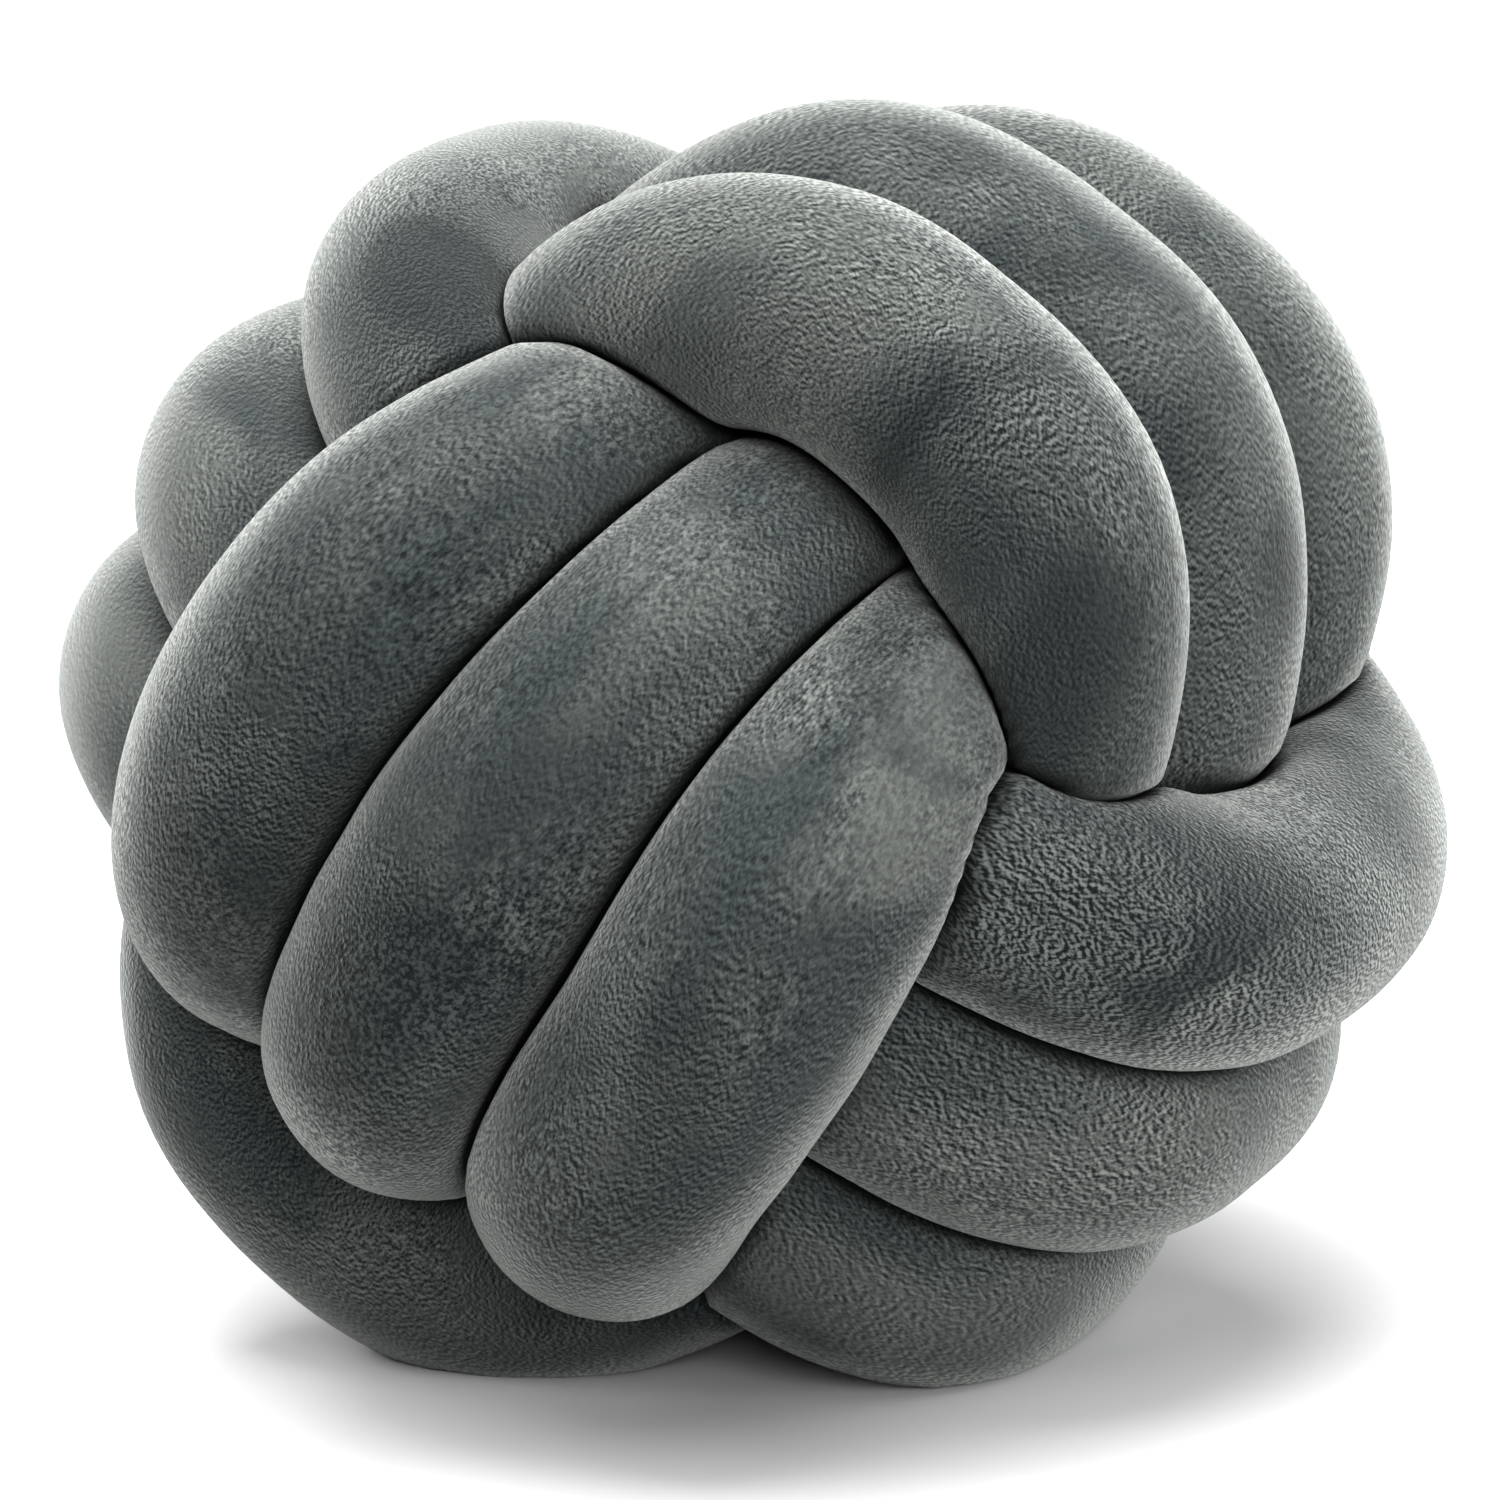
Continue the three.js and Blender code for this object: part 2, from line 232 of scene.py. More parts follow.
# The tube's route: for any distance along it, its centre, its radius and which fold it is in
class TubeRoute:
    # a centripetal spline through the key points, which makes no loops
    def __init__(self, keys):
        self.keys = keys
        points = layOnFloor(np.array([key["place"] for key in keys]))
        ends = 2 * points[0] - points[1], 2 * points[-1] - points[-2]
        p = np.vstack((ends[0], points, ends[1]))
        gaps = np.linalg.norm(np.diff(p, axis=0), axis=1)[:, None] ** 0.5
        d0, d1, d2 = gaps[:-2], gaps[1:-1], gaps[2:]
        p0, p1, p2, p3 = p[:-3], p[1:-2], p[2:-1], p[3:]
        t1 = ((p1 - p0) / d0 - (p2 - p0) / (d0 + d1) + (p2 - p1) / d1) * d1
        t2 = ((p2 - p1) / d1 - (p3 - p1) / (d1 + d2) + (p3 - p2) / d2) * d1
        self.parts = (p1, t1, 3 * (p2 - p1) - 2 * t1 - t2, 2 * (p1 - p2) + t1 + t2)
        self.table = np.linspace(0, len(keys) - 1, tube["stepsPerKey"] * len(keys))
        steps = np.linalg.norm(np.diff(self.centreAt(self.table), axis=0), axis=1)
        self.runs = np.concatenate(((0,), np.cumsum(steps)))
        self.length = self.runs[-1]

    def centreAt(self, place):
        part = np.minimum(place.astype(int), len(self.keys) - 2)
        w = (place - part)[:, None]
        c0, c1, c2, c3 = (c[part] for c in self.parts)
        return c0 + w * (c1 + w * (c2 + w * c3))

    def keyColumn(self, name):
        return np.array([key[name] for key in self.keys], float)

    def sampleAt(self, along):
        place = np.interp(along, self.runs, self.table)
        keyPlaces = np.arange(len(self.keys))
        nearest = np.minimum(np.round(place).astype(int), keyPlaces[-1])
        low = np.minimum(place.astype(int), keyPlaces[-2])
        shown = self.keyColumn("shown")
        toEnd = np.minimum(1, np.minimum(along, self.length - along) / tube["endLength"])
        return {
            "along": along,
            "centre": self.centreAt(place),
            "radius": np.interp(place, keyPlaces, self.keyColumn("radius")),
            "swell": np.interp(place, keyPlaces, self.keyColumn("swell")),
            "shown": (shown[low] * shown[low + 1]) > 0,
            "fold": np.array([self.keys[i]["fold"] for i in nearest]),
            "rounding": np.sqrt(np.maximum(0, 1 - (1 - toEnd) ** 2)),
        }


# Where the tube gets its rings: close together where it shows, wider apart where it is hidden,
# counted millimetre by millimetre
def ringPlaces(route):
    even = np.arange(0, route.length, 1.0)
    step = np.where(route.sampleAt(even)["shown"], tube["shownStep"], tube["hiddenStep"])
    counted = np.concatenate(((0,), np.cumsum(1 / step)[:-1]))
    return np.interp(np.arange(tube["firstRing"], counted[-1], 1), counted, even)


# How far the tube's skin stands off its centre in each direction. Every other fold presses it
# flat half way between the two centres, and `give` lets the stuffing bulge or sink a little.
# Also how far the skin is from the nearest pressed flat
def skinDistances(rings, directions, samples, give):
    folds, starts = np.unique(samples["fold"], return_index=True)
    starts = np.sort(starts)
    sharp = tube["creaseSharpness"]
    noWall = 1e6  # too far off to press
    tiny = 1e-6  # nothing is divided by nought
    distances = np.zeros(directions.shape[:2])
    clearances = np.zeros(directions.shape[:2])
    for i in range(len(directions)):
        offsets = samples["centre"] - rings["centre"][i]
        radius = rings["radius"][i]
        apart = np.einsum("ij,ij->i", offsets, offsets) + radius ** 2 - samples["radius"] ** 2
        facing = directions[i] @ offsets.T
        near = np.abs(samples["along"] - rings["along"][i]) < radius
        facing[:, near] = 0
        walls = np.where(facing > 0, apart / (2 * np.maximum(facing, tiny)), noWall)
        walls = np.minimum.reduceat(walls, starts, axis=1)
        free = (radius + rings["swell"][i]) * give[i]
        total = (np.maximum(walls, 1) ** -sharp).sum(axis=1) + free ** -sharp
        distances[i] = (total ** (-1 / sharp) - tube["turnGap"] / 2) * rings["rounding"][i]
        clearances[i] = walls.min(axis=1) - distances[i]
    return distances, clearances


def addNode(tree, kind, **values):
    node = tree.nodes.new(kind)
    for name, value in values.items():
        setattr(node, name, value)
    return node


def setInputs(node, values):
    for name, value in values.items():
        node.inputs[name].default_value = value
    return node


# Gives a tree its named inputs or outputs
def addSockets(tree, direction, kinds):
    for name, kind in kinds.items():
        tree.interface.new_socket(name, in_out=direction, socket_type="NodeSocket" + kind)


# A tree that sweeps a round profile along the route and gives it its cloth
def woundTubeTree():
    tree = bpy.data.node_groups.new("woundTube", "GeometryNodeTree")
    addSockets(tree, "INPUT", {"Route": "Geometry", "Sides": "Int", "Cloth": "Material"})
    addSockets(tree, "OUTPUT", {"Tube": "Geometry"})
    given = addNode(tree, "NodeGroupInput")
    profile = setInputs(addNode(tree, "GeometryNodeCurvePrimitiveCircle"), {"Radius": 1})
    sweep = setInputs(addNode(tree, "GeometryNodeCurveToMesh"), {"Fill Caps": True})
    smooth = addNode(tree, "GeometryNodeSetShadeSmooth")
    whole = addNode(tree, "GeometryNodeRealizeInstances")
    dress = addNode(tree, "GeometryNodeSetMaterial")
    result = addNode(tree, "NodeGroupOutput")
    link = tree.links.new
    link(given.outputs["Sides"], profile.inputs["Resolution"])
    link(given.outputs["Route"], sweep.inputs["Curve"])
    link(profile.outputs["Curve"], sweep.inputs["Profile Curve"])
    link(sweep.outputs["Mesh"], smooth.inputs["Geometry"])
    link(smooth.outputs["Geometry"], whole.inputs["Geometry"])
    link(whole.outputs["Geometry"], dress.inputs["Geometry"])
    link(given.outputs["Cloth"], dress.inputs["Material"])
    link(dress.outputs["Geometry"], result.inputs["Tube"])
    return tree


# Gives a tree's inputs their values, turns the result into a plain mesh and drops the modifier
def growMesh(maker, tree, values, name):
    modifier = maker.modifiers.new("grow", "NODES")
    modifier.node_group = tree
    for item in tree.interface.items_tree:
        if item.in_out == "INPUT" and item.name in values:
            modifier[item.identifier] = values[item.name]
    bpy.context.view_layer.update()
    graph = bpy.context.evaluated_depsgraph_get()
    mesh = bpy.data.meshes.new_from_object(maker.evaluated_get(graph))
    mesh.name = name
    maker.modifiers.clear()
    piece = bpy.data.objects.new(name, mesh)
    bpy.context.scene.collection.objects.link(piece)
    return piece


# Broad and fine lumps of the stuffing: their size in millimetres, and their height as a share of
# the tube's radius
stuffing = {
    "lumpSize": 46,
    "lumpHeight": 0.035,
    "fineSize": 17,
    "fineHeight": 0.012,
    "seed": 7.3,
}


# How full each point of the tube is, 1 being even
def stuffingGive(unwound):
    give = np.ones(unwound.shape[:2])
    shift = Vector((stuffing["seed"],) * 3)
    for size, height in (("lumpSize", "lumpHeight"), ("fineSize", "fineHeight")):
        for i, ring in enumerate(unwound):
            for j, point in enumerate(ring):
                place = Vector(point) / stuffing[size]
                give[i, j] += stuffing[height] * noise.noise(place + shift)
    return give


# Marks where a hand has brushed the pile, and marks of painted shade and painted highlight: from
# and to on the fold's face (along and across, as in `faces`), half the width of the mark, its
# tone, dark below nought and light above, and how much weaker (below nought) or stronger the
# grain is there
markColumns = (
    "face", "lane", "fromAlong", "fromAcross", "toAlong", "toAcross", "width", "tone", "grain",
)
layAndShadingMarks = (
    ("over", 1, -45, 78, -15, 77, 26, 1.0, -0.2),
    ("over", 1, -15, 77, 4, 70, 14, 0.6, -0.2),
    ("over", 1, -42, 78, -24, 78, 6, -0.6, 0),
    ("over", 1, -16, 79, 10, 78, 7, -0.8, 0),
    ("over", 1, 14, 74, 24, 61, 8, -0.6, 0),
    ("over", 1, 40, 80, 66, 79, 16, -0.4, 0),
    ("over", 1, 76, 43, 66, 60, 12, -0.4, 0),
    ("over", 0, -30, 13, -28, 10, 9, -0.5, 0),
    ("over", 0, 6, 18, 12, 12, 8, -0.6, 0),
    ("over", 0, 48, 22, 42, 10, 10, -0.4, 0),
    ("over", 0, 77, 3, 74, 6, 11, -0.7, 0),
    ("over", 0, 60, -16, 74, -4, 13, -0.3, 0),
    ("left", 1, -77, 73, -68, 74, 14, -0.6, 0.3),
    ("left", 1, -57, 78, -75, 70, 6, -0.6, 0),
    # painted shade
    ("left", 1, -62, 84, -26, 86, 7, -0.5, 0.7),
    ("left", 1, -45, 66, -20, 70, 9, 0.6, 0),
    # painted highlight on an edge facing the light
    ("left", 0, -74, 11, -79, 2, 16, 1.0, -0.4),
    ("left", 0, -72, 26, -66, 20, 8, -0.5, 0),
    # painted highlight on an edge facing the light
    ("left", -1, -73, -56, -72, -44, 16, 0.8, -0.4),
    ("front", -1, 85, -49, 84, -45, 7, 0.5, -0.2),
    ("front", -1, 86, -32, 80, -26, 9, -0.5, 0),
    ("front", -1, -26, -45, -54, -39, 20, -0.6, 0),
    ("front", -1, 10, -32, -20, -30, 14, -0.6, 0),
    ("front", -1, -47, -46, -58, -31, 4, -0.6, 0),
    ("front", 0, 78, -14, 79, 7, 10, 0.5, -0.2),
    ("front", 0, 20, -16, 16, 1, 3, 0.3, 0),
    ("front", 0, 2, 10, 6, 16, 11, -0.4, 0),
    ("front", 0, -8, 0, -41, -8, 22, -0.8, 0),
    ("front", 0, -55, 20, -70, 23, 16, -0.6, 0),
    ("front", 1, 20, 58, -20, 74, 14, -0.5, 0),
    ("front", 1, 78, 30, 72, 32, 12, 0.6, 0),
    ("front", 1, 72, 60, 60, 62, 12, 0.5, 0),
    ("front", 1, 87, 48, 64, 72, 9, 0.6, -0.4),
    ("front", 1, 85, 30, 85, 33, 5, -0.8, 0),
    ("front", 1, 83, 40, 78, 54, 3, -0.7, 0),
    ("front", 1, 78, 54, 76, 64, 3, -0.8, 0),
    ("front", 1, -41, 79, -57, 61, 16, -0.5, 0),
    # painted shadow under the tip of the turn above
    ("right", 1, 61, 78, 39, 77, 8, -0.6, 0),
    ("right", 1, 45, 77, 62, 66, 6, -0.8, 0),
    ("right", 1, 62, 66, 74, 53, 5, -1.0, 0),
    ("right", 1, 73, 54, 68, 42, 4, -1.0, 0),
    ("right", 1, 57, 60, 66, 46, 4, 0.8, 0),
    ("right", 1, 88, 40, 80, 40, 6, -0.5, 0),
    ("right", 1, 30, 78, -20, 79, 14, -0.6, 0),
    ("right", 1, 10, 68, -10, 60, 12, 0.4, 0),
    ("right", 0, 79, -4, 40, 18, 20, 0.9, 0),
    ("right", -1, 82, -42, 73, -61, 6, -0.3, 0),
    ("right", -1, 78, -44, 38, -39, 18, 0.6, -0.4),
    ("under", 1, -10, 87, -35, 82, 16, 0.5, -0.2),
    # wider stretches, most of them of weaker or stronger grain alone
    ("front", -1, 72, -50, 30, -46, 22, 0, -0.3),
    ("front", 0, 62, -2, 35, 0, 24, 0, -0.4),
    ("front", 1, 70, 50, 0, 52, 26, 0, -0.3),
    ("over", 1, -10, 60, 30, 60, 26, 0, 0.3),
    ("over", 1, 50, 74, 80, 60, 26, 0, -0.2),
    # painted shade at the lower end of the turn
    ("over", 1, 62, 80, 80, 70, 12, -0.5, 0),
    ("over", 0, -36, 22, -20, 20, 12, 0.6, 0),
    ("over", -1, -36, -40, -10, -40, 14, 0.6, 0),
    ("over", -1, 30, -50, 70, -45, 16, 0.5, 0),
    ("over", 0, -40, 10, 70, 0, 30, 0, -0.3),
    ("over", -1, -40, -40, 80, -40, 34, 0, -0.2),
    ("left", -1, -80, -50, -40, -50, 30, 0, -0.3),
    ("right", 1, 80, 48, 20, 68, 30, 0, 1.1),
    ("front", 0, -10, 0, -60, 10, 28, 0, 0.6),
    ("front", 1, 10, 50, -60, 60, 28, 0, 0.4),
    ("front", -1, 10, -45, -60, -40, 28, 0, 0.3),
    ("left", 1, -70, 60, -50, 60, 30, 0, 0.3),
)


# A mark fades out between these shares of its width, and may run on past its fold's end by a few
# rings
brush = {
    "fadeFrom": 0.3,
    "fadeTo": 1.2,
    "runOnRings": 14,
}


# How dark or light each point of the tube's skin is brushed and painted with shade and highlight,
# and how strong its grain is
def brushedSkin(corners, folds):
    tones = np.zeros(corners.shape[:2])
    grains = np.ones(corners.shape[:2])
    for row in layAndShadingMarks:
        mark = dict(zip(markColumns, row))
        face = faces[mark["face"]]
        start = np.array((mark["fromAlong"], mark["fromAcross"]), float)
        way = np.array((mark["toAlong"], mark["toAcross"])) - start
        inFold = np.char.endswith(folds, mark["face"] + str(mark["lane"]))
        inReach = np.convolve(inFold, np.ones(2 * brush["runOnRings"] + 1), "same") > 0
        for i in np.flatnonzero(inReach):
            own = standUp(corners[i])
            flat = np.column_stack((own @ face["along"], own @ face["across"])) - start
            share = np.clip(flat @ way / (way @ way), 0, 1)[:, None]
            away = np.linalg.norm(flat - share * way, axis=1) / mark["width"]
            outside = own @ face["out"] > knot["crownReach"] / 2
            strength = (1 - smoothStep(away, brush["fadeFrom"], brush["fadeTo"])) * outside
            tones[i] += mark["tone"] * strength
            grains[i] += mark["grain"] * strength
    return np.clip(tones, -1, 1), np.clip(grains, 0, 2)


# The whole tube as one mesh: swept along its route, pressed together, brushed, and painted with
# shade and highlight
def makeTube(cloth):
    keys = [
        *runKeys(tuckedStart, "start"),
        *bandKeys(firstBand, "first"),
        *runKeys(firstToSecond, "firstToSecond"),
        *bandKeys(secondBand, "second"),
        *runKeys(secondToThird, "secondToThird"),
        *bandKeys(thirdBand, "third"),
        *runKeys(tuckedEnd, "end"),
    ]
    route = TubeRoute(keys)
    rings = route.sampleAt(ringPlaces(route))
    samples = route.sampleAt(np.arange(0, route.length, tube["sampleStep"]))
    print("route", round(route.length), "mm,", len(rings["along"]), "rings")

    path = bpy.data.curves.new("tubeRoute", "CURVE")
    path.dimensions = "3D"
    spline = path.splines.new("POLY")
    spline.points.add(len(rings["along"]) - 1)
    four = np.column_stack((rings["centre"] * mm, np.ones(len(rings["along"]))))
    spline.points.foreach_set("co", four.ravel())
    spline.points.foreach_set("radius", rings["radius"] * mm)
    maker = bpy.data.objects.new("tubeRoute", path)
    bpy.context.scene.collection.objects.link(maker)
    values = {"Sides": tube["sides"], "Cloth": cloth}
    piece = growMesh(maker, woundTubeTree(), values, "plushTube")
    bpy.data.objects.remove(maker)
    print("tube swept")

    count = len(rings["along"]) * tube["sides"]
    corners = np.zeros(count * 3)
    piece.data.vertices.foreach_get("co", corners)
    corners = corners.reshape(len(rings["along"]), tube["sides"], 3) / mm
    offsets = corners - rings["centre"][:, None]
    directions = offsets / np.linalg.norm(offsets, axis=2)[..., None]

    around = np.arange(tube["sides"]) * 2 * math.pi / tube["sides"]
    unwound = np.zeros_like(corners)
    unwound[..., 0] = tube["radius"] * np.cos(around)
    unwound[..., 1] = tube["radius"] * np.sin(around)
    unwound[..., 2] = rings["along"][:, None]
    give = stuffingGive(unwound)
    distances, clearances = skinDistances(rings, directions, samples, give)
    corners = rings["centre"][:, None] + directions * distances[..., None]
    corners[..., 2] = np.maximum(corners[..., 2], 0)
    piece.data.vertices.foreach_set("co", (corners * mm).ravel())
    stored = piece.data.attributes.new("unwound", "FLOAT_VECTOR", "POINT")
    stored.data.foreach_set("vector", (unwound * mm).ravel())
    # painted crease shade: how strongly the skin is darkened near a pressed flat
    apart = smoothStep(clearances, tube["turnGap"], tube["creaseShadow"])
    pressed = (1 - apart) ** tube["creaseFall"]
    tones, grains = brushedSkin(corners, rings["fold"])
    for name, values in (("pressed", pressed), ("layAndShading", tones), ("grain", grains)):
        stored = piece.data.attributes.new(name, "FLOAT", "POINT")
        stored.data.foreach_set("value", values.ravel())
    piece.data.update()
    print("turns pressed together")
    return piece


# Short-pile plush, in metres where it is a size
plush = {
    "shade": (0.003, 0.006, 0.007, 1),  # painted shade between the tufts
    "tone": (0.092, 0.111, 0.109, 1),  # the tufts' tips
    "rubbed": (0.196, 0.217, 0.203, 1),  # and where they are smudged
    "laidPileAndShade": (0.040, 0.050, 0.050, 1),  # the tips in a hand's marks, and painted shade
    # the tips in a hand's marks, and painted highlight
    "laidPileAndHighlight": (0.300, 0.320, 0.298, 1),
    "rimSheenRoots": (0.095, 0.105, 0.102, 1),  # painted sheen: pile that is seen edge on, at its roots
    # painted sheen at the tips of pile seen edge on
    "rimSheen": (0.760, 0.780, 0.745, 1),
    "creaseShade": (0.002, 0.003, 0.003, 1),  # painted crease shade, where two turns press on each other
    "rimStart": 0.42,
    "rimStrength": 0.90,
    "rimWhereDark": 0.4,
    "tuftSize": 0.00092,
    "tuftDetail": 1.0,
    "tuftLeans": ((0, 0, 0.0005), (0.00042, 0.00036, 0.00015)),
    "tuftContrast": 1.9,
    "tuftEvenness": 1.5,
    "middleTone": 0.5,
    "patchSize": 0.030,
    "patchDetail": 3,
    "patchEdge": (0.40, 0.60),
    "strokedSize": 0.018,
    "strokedDetail": 2,
    "strokedEdge": (0.52, 0.68),
    "strokedShare": 0.4,
    "smudgeSize": (0.022, 0.022, 0.036),
    "smudgeDetail": 4,
    "smudgeRoughness": 0.55,
    "smudgeEdge": (0.36, 0.66),
    "markStrength": 0.9,
    "bumpHeight": 0.0004,
    "bumpStrength": 1.0,
    "sheen": 0.40,
    "sheenRoughness": 0.45,
    "sheenTint": (0.92, 0.96, 0.92, 1),
    "roughness": 0.92,
    "gloss": 0.2,
}


# Links another node's socket, or sets a plain value
def feed(tree, given, socket):
    if isinstance(given, bpy.types.NodeSocket):
        tree.links.new(given, socket)
    else:
        socket.default_value = given


def mathOf(tree, operation, *given, clamped=False):
    node = addNode(tree, "ShaderNodeMath", operation=operation, use_clamp=clamped)
    for value, socket in zip(given, node.inputs):
        feed(tree, value, socket)
    return node.outputs["Value"]


def noiseOf(tree, place, size, detail, roughness=0.5):
    sides = size if isinstance(size, tuple) else (size,) * 3
    scaled = setInputs(addNode(tree, "ShaderNodeMapping"), {
        "Scale": tuple(1 / side for side in sides)})
    pattern = setInputs(addNode(tree, "ShaderNodeTexNoise"), {
        "Scale": 1, "Detail": detail, "Roughness": roughness})
    tree.links.new(place, scaled.inputs["Vector"])
    tree.links.new(scaled.outputs["Vector"], pattern.inputs["Vector"])
    return pattern.outputs["Fac"]


def ramp(tree, value, low, high):
    spread = addNode(tree, "ShaderNodeMapRange", interpolation_type="SMOOTHSTEP")
    setInputs(spread, {"From Min": low, "From Max": high})
    tree.links.new(value, spread.inputs["Value"])
    return spread.outputs["Result"]


def blendOf(tree, share, first, second, kind="FLOAT"):
    mix = addNode(tree, "ShaderNodeMix", data_type=kind)
    # by kind, the node's sockets for the share, the two blended values and the result
    *inputs, output = {"FLOAT": (0, 2, 3, 0), "RGBA": (0, 6, 7, 2)}[kind]
    for given, socket in zip((share, first, second), inputs):
        feed(tree, given, mix.inputs[socket])
    return mix.outputs[output]


def attributeOf(tree, name, output="Fac"):
    return addNode(tree, "ShaderNodeAttribute", attribute_name=name).outputs[output]


# The lie of the pile over the tube. Each tuft leans, so its tip is painted light on one side and
# its root painted dark on the other, a painted small-scale light and shade; in some patches it
# leans along the tube and in others round it. Also places where the grain is stroked smooth, and
# light and dark smudges
def brushedNapGroup():
    group = bpy.data.node_groups.new("brushedNap", "ShaderNodeTree")
    addSockets(group, "INPUT", {"Place": "Vector", "Strength": "Float"})
    addSockets(group, "OUTPUT", {"Grain": "Float", "Height": "Float", "Brushed": "Float"})
    given = addNode(group, "NodeGroupInput")
    result = addNode(group, "NodeGroupOutput")
    place = given.outputs["Place"]
    tufts = noiseOf(group, place, plush["tuftSize"], plush["tuftDetail"])
    leant = []
    for lean in plush["tuftLeans"]:
        moved = addNode(group, "ShaderNodeVectorMath", operation="ADD")
        feed(group, place, moved.inputs[0])
        feed(group, lean, moved.inputs[1])
        leant.append(noiseOf(
            group, moved.outputs["Vector"], plush["tuftSize"], plush["tuftDetail"]))
    patches = noiseOf(group, place, plush["patchSize"], plush["patchDetail"])
    tips = blendOf(group, ramp(group, patches, *plush["patchEdge"]), *leant)
    stroked = noiseOf(group, place, plush["strokedSize"], plush["strokedDetail"])
    stroked = ramp(group, stroked, *plush["strokedEdge"])
    calm = mathOf(group, "MULTIPLY", stroked, plush["strokedShare"])
    strong = blendOf(group, calm, given.outputs["Strength"], 0.0)
    lit = mathOf(group, "SUBTRACT", tips, tufts)
    lit = mathOf(group, "MULTIPLY", lit, plush["tuftContrast"])
    grain = mathOf(group, "MULTIPLY_ADD", lit, strong, plush["middleTone"], clamped=True)
    # tips and roots then stand out alike to the eye
    grain = mathOf(group, "POWER", grain, plush["tuftEvenness"])
    smudges = noiseOf(
        group, place, plush["smudgeSize"], plush["smudgeDetail"], plush["smudgeRoughness"])
    feed(group, grain, result.inputs["Grain"])
    feed(group, mathOf(group, "MULTIPLY", tufts, strong), result.inputs["Height"])
    feed(group, ramp(group, smudges, *plush["smudgeEdge"]), result.inputs["Brushed"])
    return group


def plushMaterial(name, nap):
    material = bpy.data.materials.new(name)
    material.use_nodes = True
    tree = material.node_tree
    shader = tree.nodes["Principled BSDF"]
    setInputs(shader, {
        "Roughness": plush["roughness"],
        "Sheen Roughness": plush["sheenRoughness"],
        "Sheen Tint": plush["sheenTint"],
        "Specular IOR Level": plush["gloss"],
    })
    lie = addNode(tree, "ShaderNodeGroup", node_tree=nap)
    feed(tree, attributeOf(tree, "unwound", "Vector"), lie.inputs["Place"])
    feed(tree, attributeOf(tree, "grain"), lie.inputs["Strength"])
    # painted crease shade, strongest at the flats
    pressed = attributeOf(tree, "pressed")
    layAndShading = attributeOf(tree, "layAndShading")
    # the marks' shares: the pile's brushed lay, and painted shade and highlight
    laidPileAndHighlight = mathOf(tree, "MULTIPLY", ramp(tree, layAndShading, 0, 1), plush["markStrength"])
    laidPileAndShade = mathOf(tree, "MULTIPLY", ramp(tree, layAndShading, 0, -1), plush["markStrength"])
    rubbed = blendOf(tree, lie.outputs["Brushed"], plush["tone"], plush["rubbed"], "RGBA")
    rubbed = blendOf(tree, laidPileAndHighlight, rubbed, plush["laidPileAndHighlight"], "RGBA")
    rubbed = blendOf(tree, laidPileAndShade, rubbed, plush["laidPileAndShade"], "RGBA")
    pile = blendOf(tree, lie.outputs["Grain"], plush["shade"], rubbed, "RGBA")
    # painted sheen: seen edge on, the colour is lightened as if the tips of the pile caught more
    # light, but less so in a dark mark
    edge = addNode(tree, "ShaderNodeLayerWeight").outputs["Facing"]
    rimSheen = mathOf(tree, "MULTIPLY", ramp(tree, edge, plush["rimStart"], 1), plush["rimStrength"])
    rimSheen = mathOf(tree, "MULTIPLY", rimSheen, blendOf(tree, laidPileAndShade, 1.0, plush["rimWhereDark"]))
    tips = blendOf(tree, lie.outputs["Grain"], plush["rimSheenRoots"], plush["rimSheen"], "RGBA")
    velvet = blendOf(tree, rimSheen, pile, tips, "RGBA")
    # painted crease shade: the colour goes dark near the flats
    colour = blendOf(tree, pressed, velvet, plush["creaseShade"], "RGBA")
    # painted crease shade: the sheen is taken away where two turns press on each other, as if no
    # light reached the pile there
    sheen = blendOf(tree, pressed, plush["sheen"], 0.0)
    bump = setInputs(addNode(tree, "ShaderNodeBump"), {
        "Distance": plush["bumpHeight"], "Strength": plush["bumpStrength"]})
    feed(tree, colour, shader.inputs["Base Color"])
    feed(tree, sheen, shader.inputs["Sheen Weight"])
    feed(tree, lie.outputs["Height"], bump.inputs["Height"])
    feed(tree, bump.outputs["Normal"], shader.inputs["Normal"])
    return material


# The camera looks at the knot from a little above and is held slightly turned, as in the photo.
# Millimetres and degrees
view = {
    "target": (1.1, 1.5, 126.7),
    "distance": 1203,
    "elevation": 10,
    "roll": -3,
    "lens": 131.8,
    "sensor": 36,
    "nearest": 50,
}


def addCamera():
    camera = bpy.data.cameras.new("camera")
    camera.lens = view["lens"]
    camera.sensor_width = view["sensor"]
    camera.clip_start = view["nearest"] * mm
    holder = bpy.data.objects.new("camera", camera)
    bpy.context.scene.collection.objects.link(holder)
    aim = Matrix.Rotation(math.radians(90 - view["elevation"]), 4, "X")
    aim = aim @ Matrix.Rotation(math.radians(view["roll"]), 4, "Z")
    back = aim.to_3x3() @ Vector((0, 0, view["distance"] * mm))
    holder.matrix_world = Matrix.Translation(Vector(view["target"]) * mm + back) @ aim
    bpy.context.scene.camera = holder


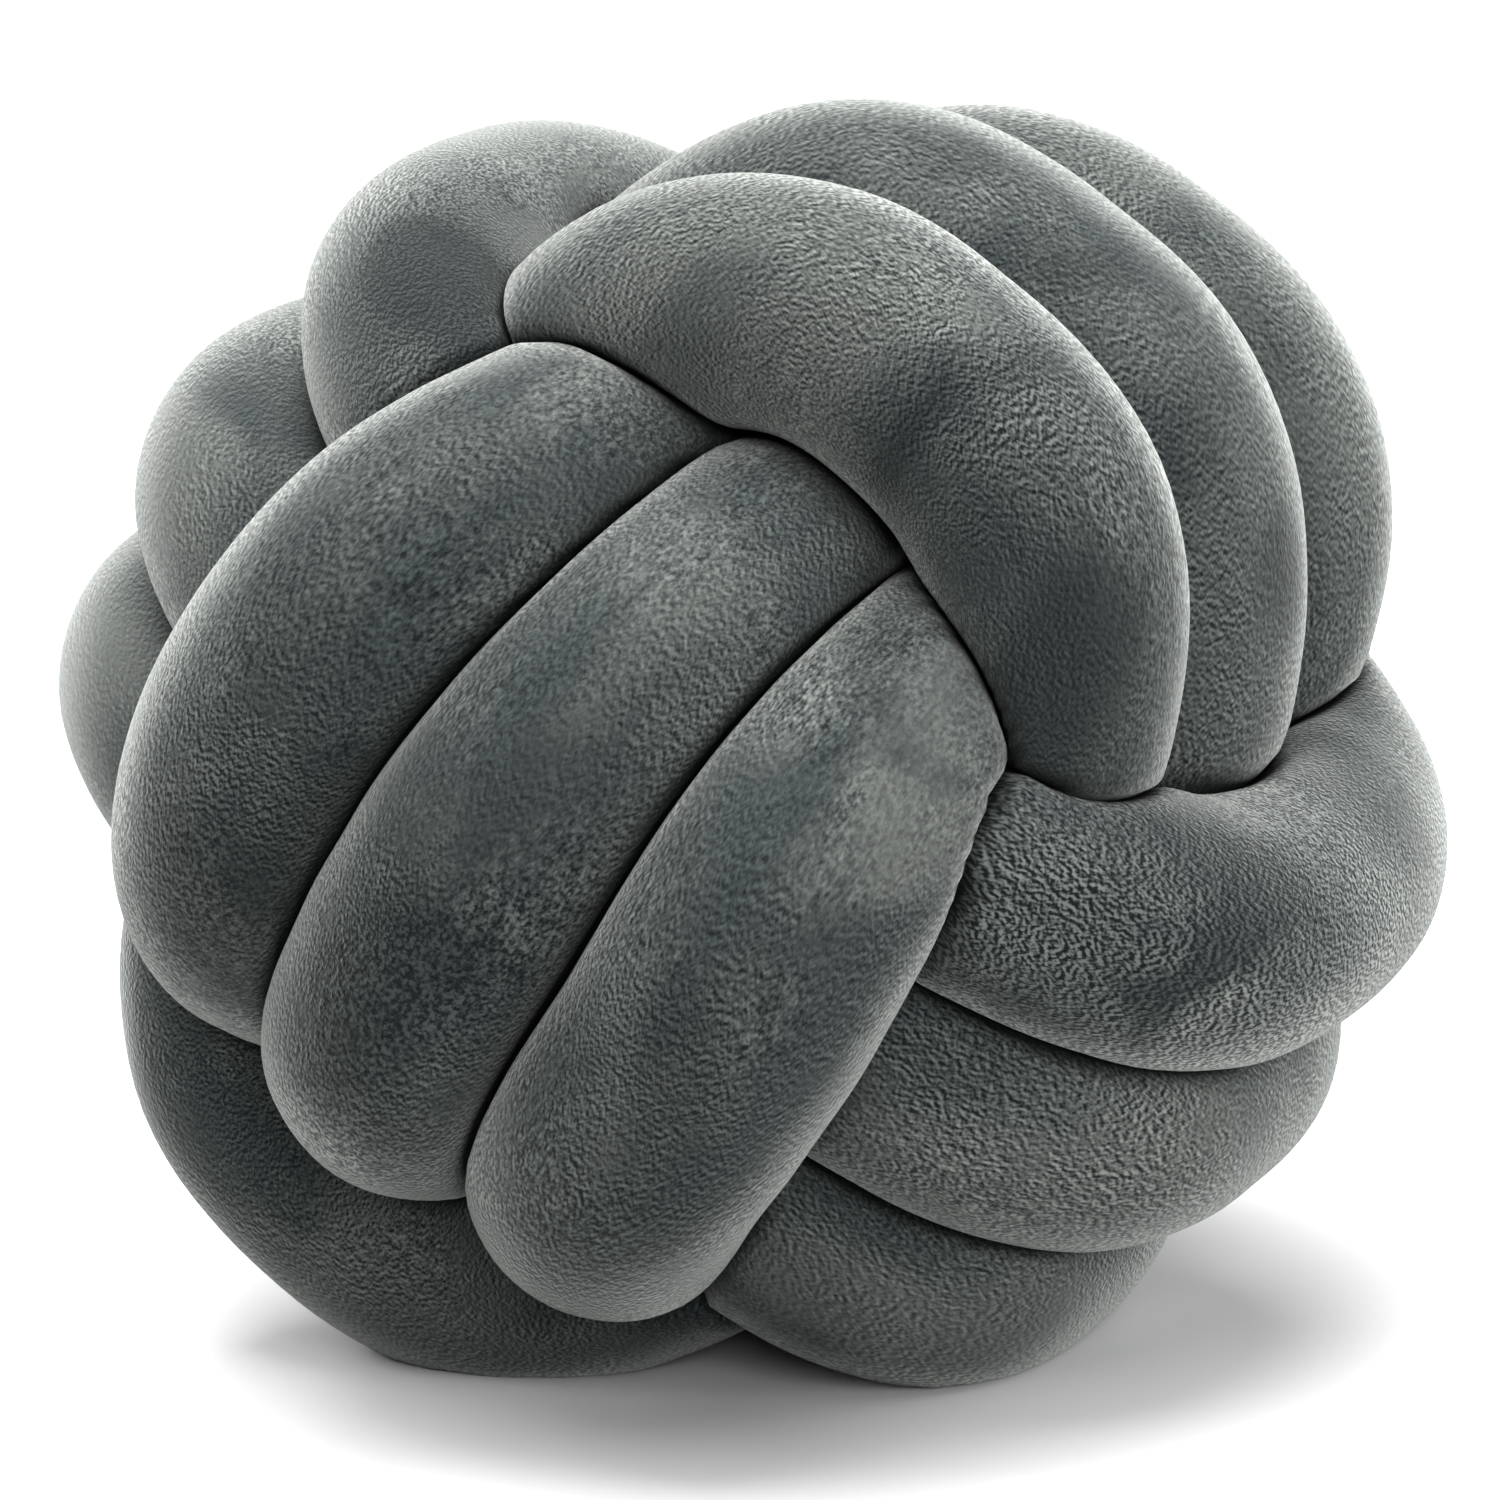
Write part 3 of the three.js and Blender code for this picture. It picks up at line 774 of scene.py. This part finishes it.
# Floor, sky and lamps, in metres: where each lamp stands, its size (a sun's in degrees) and its
# power. The floor throws back less light than its colour would give
studio = {
    "floorColour": (0.93, 0.93, 0.93, 1),
    "floorBounce": (0.35, 0.35, 0.35, 1),
    "floorSize": 30,
    "floorRoughness": 0.9,
    "floorGloss": 0.1,
    "skyColour": (1.0, 1.0, 1.0, 1),
    "skyStrength": 0.01,
    "lampColumns": ("name", "kind", "place", "size", "power"),
    "lamps": (
        ("highSun", "SUN", (0.0, 0.1, 1.0), 50, 4.5),
        ("leftSun", "SUN", (-0.7, 0.2, 1.0), 50, 1.1),
        ("leftFrontBox", "AREA", (-1.3, -1.2, 1.2), 1.2, 2.5),
        ("leftBackBox", "AREA", (-1.3, 1.4, 0.8), 1.2, 16),
        ("topFrontBox", "AREA", (0.0, -1.1, 1.9), 1.4, 12),
        ("rightBox", "AREA", (1.8, 0.4, 0.6), 1.2, 13),
        ("rightBackBox", "AREA", (1.2, 1.5, 0.8), 1.2, 12),
        ("rightLowBox", "AREA", (1.5, -1.0, 0.25), 0.8, 14),
        ("frontBox", "AREA", (0.3, -2.2, 0.9), 0.9, 15),
    ),
}


def addFloor():
    half = studio["floorSize"] / 2
    mesh = bpy.data.meshes.new("floor")
    corners = [(-half, -half, 0), (half, -half, 0), (half, half, 0), (-half, half, 0)]
    mesh.from_pydata(corners, [], [(0, 1, 2, 3)])
    floor = bpy.data.objects.new("floor", mesh)
    bpy.context.scene.collection.objects.link(floor)
    paint = bpy.data.materials.new("floorPaint")
    paint.use_nodes = True
    tree = paint.node_tree
    shader = setInputs(tree.nodes["Principled BSDF"], {
        "Roughness": studio["floorRoughness"], "Specular IOR Level": studio["floorGloss"]})
    seen = addNode(tree, "ShaderNodeLightPath").outputs["Is Camera Ray"]
    colour = blendOf(tree, seen, studio["floorBounce"], studio["floorColour"], "RGBA")
    feed(tree, colour, shader.inputs["Base Color"])
    mesh.materials.append(paint)


def addLamps():
    world = bpy.data.worlds.new("studio")
    world.use_nodes = True
    sky = world.node_tree.nodes["Background"]
    setInputs(sky, {"Color": studio["skyColour"], "Strength": studio["skyStrength"]})
    bpy.context.scene.world = world
    for row in studio["lamps"]:
        facts = dict(zip(studio["lampColumns"], row))
        lamp = bpy.data.lights.new(facts["name"], facts["kind"])
        lamp.energy = facts["power"]
        holder = bpy.data.objects.new(facts["name"], lamp)
        holder.location = facts["place"]
        if facts["kind"] == "SUN":
            lamp.angle = math.radians(facts["size"])
            away = Vector(facts["place"])
        else:
            lamp.shape = "DISK"
            lamp.size = facts["size"]
            away = Vector(facts["place"]) - Vector(knot["middle"]) * mm
        holder.rotation_euler = away.to_track_quat("Z", "Y").to_euler()
        bpy.context.scene.collection.objects.link(holder)
    print("studio set")


bpy.context.scene.view_settings.view_transform = "Standard"
addCamera()
addFloor()
addLamps()
cloth = plushMaterial("plush", brushedNapGroup())
plushTube = makeTube(cloth)
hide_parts("stuffed_tube")
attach(plushTube, "root")
print("tube in place")
